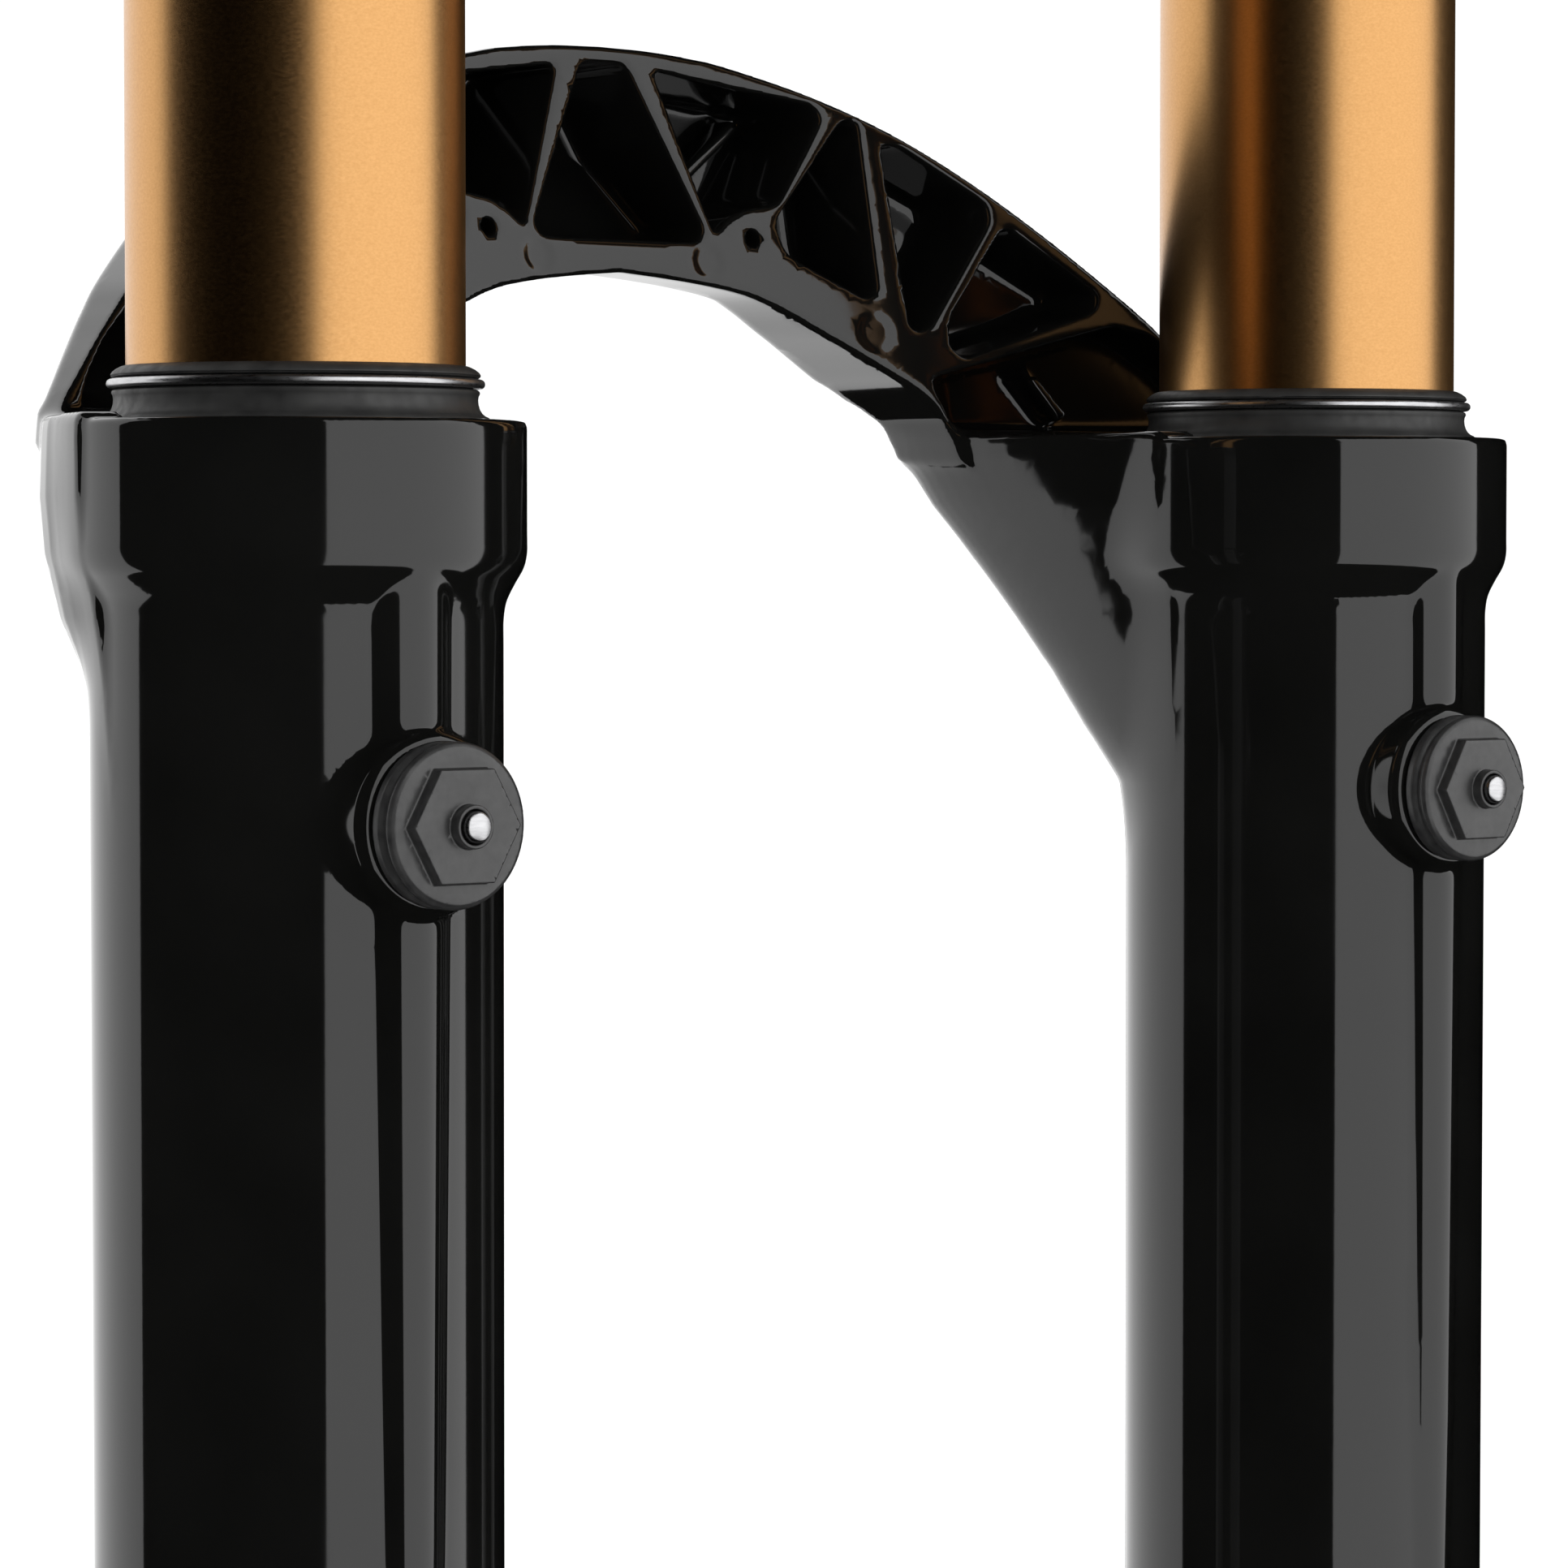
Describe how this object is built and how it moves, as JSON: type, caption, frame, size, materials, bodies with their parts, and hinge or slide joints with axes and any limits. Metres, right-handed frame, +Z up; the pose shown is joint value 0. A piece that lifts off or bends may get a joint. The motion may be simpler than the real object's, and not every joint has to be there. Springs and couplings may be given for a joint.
{
  "type": "suspension fork",
  "caption": "Single-crown air-sprung mountain-bike fork: gloss black one-piece lowers with trussed arch, gold stanchions, tapered steerer, thru axle with lever.",
  "frame": {"origin": "on the steerer axis at the plane of the crown-race seat", "axes": "+Z up the steerer, +Y forward in the direction of travel, +X to the rider's right; the fork is at full extension"},
  "size_m": [0.2085, 0.131, 0.821],
  "materials": {
    "gloss_black_paint": "gloss",
    "satin_black_anodised": "satin",
    "gold_anodised": "satin",
    "black_rubber": "matte",
    "bright_steel": "polished",
    "bare_alloy": "machined",
    "foam": "open-cell, oily",
    "bronze": "satin",
    "blue_anodised": "satin",
    "red_anodised": "satin",
    "orange_plastic": "matte",
    "grey_polymer": "matte"
  },
  "bodies": {
    "crown_and_stanchions": {"crown": "gloss_black_paint", "steerer_tube": "satin_black_anodised", "left_stanchion": "gold_anodised", "right_stanchion": "gold_anodised", "air_spring_top_cap": "satin_black_anodised", "upper_volume_spacer": "orange_plastic", "lower_volume_spacer": "orange_plastic", "air_seal_head": "grey_polymer", "damper_top_cap": "satin_black_anodised", "damper_cartridge_tube": "bare_alloy", "compression_valve": "bare_alloy", "damper_seal_head": "grey_polymer", "floating_piston_spring": "bright_steel"},
    "lowers": {"lowers_casting": "gloss_black_paint", "left_wiper_seal": "black_rubber", "left_garter_spring": "bright_steel", "left_foam_ring": "foam", "left_upper_bushing": "bronze", "left_lower_bushing": "bronze", "left_bleeder_body": "satin_black_anodised", "left_crush_washer": "bare_alloy", "left_foot_nut": "satin_black_anodised", "right_wiper_seal": "black_rubber", "right_garter_spring": "bright_steel", "right_foam_ring": "foam", "right_upper_bushing": "bronze", "right_lower_bushing": "bronze", "right_bleeder_body": "satin_black_anodised", "right_crush_washer": "bare_alloy", "right_foot_nut": "satin_black_anodised", "air_piston": "grey_polymer", "air_shaft": "bare_alloy", "bottom_out_bumper": "black_rubber", "damper_piston": "bronze", "damper_shaft": "bare_alloy", "axle_nut": "satin_black_anodised"},
    "left_bleed_button": {"left_bleed_button": "bright_steel"},
    "right_bleed_button": {"right_bleed_button": "bright_steel"},
    "air_valve_cap": {"air_valve_cap": "blue_anodised"},
    "air_valve_pin": {"air_valve_pin": "bronze"},
    "high_speed_compression_knob": {"high_speed_compression_knob": "blue_anodised"},
    "low_speed_compression_knob": {"low_speed_compression_knob": "satin_black_anodised"},
    "floating_piston": {"floating_piston": "grey_polymer"},
    "rebound_adjuster": {"rebound_rod": "bare_alloy", "rebound_knob": "red_anodised"},
    "axle": {"thru_axle": "satin_black_anodised", "axle_lever_pin": "bright_steel"},
    "axle_lever": {"axle_lever": "satin_black_anodised"}
  },
  "joints": [
    {"name": "fork_travel", "type": "slide", "parent": "crown_and_stanchions", "child": "lowers", "axis": [0, 0, 1], "range_m": [0, 0.16], "stiffness_N_per_m": 4500, "springref_m": -0.02},
    {"name": "left_bleed_button_press", "type": "slide", "parent": "lowers", "child": "left_bleed_button", "axis": [0, 1, 0], "range_m": [0, 0.0015], "stiffness_N_per_m": 600, "springref_m": -0.001},
    {"name": "right_bleed_button_press", "type": "slide", "parent": "lowers", "child": "right_bleed_button", "axis": [0, 1, 0], "range_m": [0, 0.0015], "stiffness_N_per_m": 600, "springref_m": -0.001},
    {"name": "air_valve_cap_turn", "type": "hinge", "parent": "crown_and_stanchions", "child": "air_valve_cap", "pos_m": [-0.0755, 0.026, 0.015], "axis": [0, 0, 1], "continuous": true},
    {"name": "air_valve_pin_press", "type": "slide", "parent": "crown_and_stanchions", "child": "air_valve_pin", "axis": [0, 0, -1], "range_m": [0, 0.0015], "stiffness_N_per_m": 600, "springref_m": -0.001},
    {"name": "high_speed_compression_turn", "type": "hinge", "parent": "crown_and_stanchions", "child": "high_speed_compression_knob", "pos_m": [0.0755, 0.026, 0.01], "axis": [0, 0, 1], "range_deg": [-300, 0]},
    {"name": "low_speed_compression_turn", "type": "hinge", "parent": "crown_and_stanchions", "child": "low_speed_compression_knob", "pos_m": [0.0755, 0.026, 0.018], "axis": [0, 0, 1], "range_deg": [-330, 0]},
    {"name": "floating_piston_slide", "type": "slide", "parent": "crown_and_stanchions", "child": "floating_piston", "axis": [0, 0, 1], "range_m": [0, 0.028], "deforming": ["floating_piston_spring"]},
    {"name": "rebound_turn", "type": "hinge", "parent": "lowers", "child": "rebound_adjuster", "pos_m": [0.0755, 0.026, -0.55], "axis": [0, 0, 1], "range_deg": [0, 330]},
    {"name": "axle_spin", "type": "hinge", "parent": "lowers", "child": "axle", "pos_m": [-0.09, 0.044, -0.557], "axis": [1, 0, 0], "continuous": true},
    {"name": "axle_lever_swing", "type": "hinge", "parent": "axle", "child": "axle_lever", "pos_m": [-0.0987, 0.044, -0.557], "axis": [0, -1, 0], "range_deg": [0, 120]}
  ],
  "couplings": [
    {"joint": "floating_piston_slide", "follows": "fork_travel", "ratio": 0.175}
  ]
}
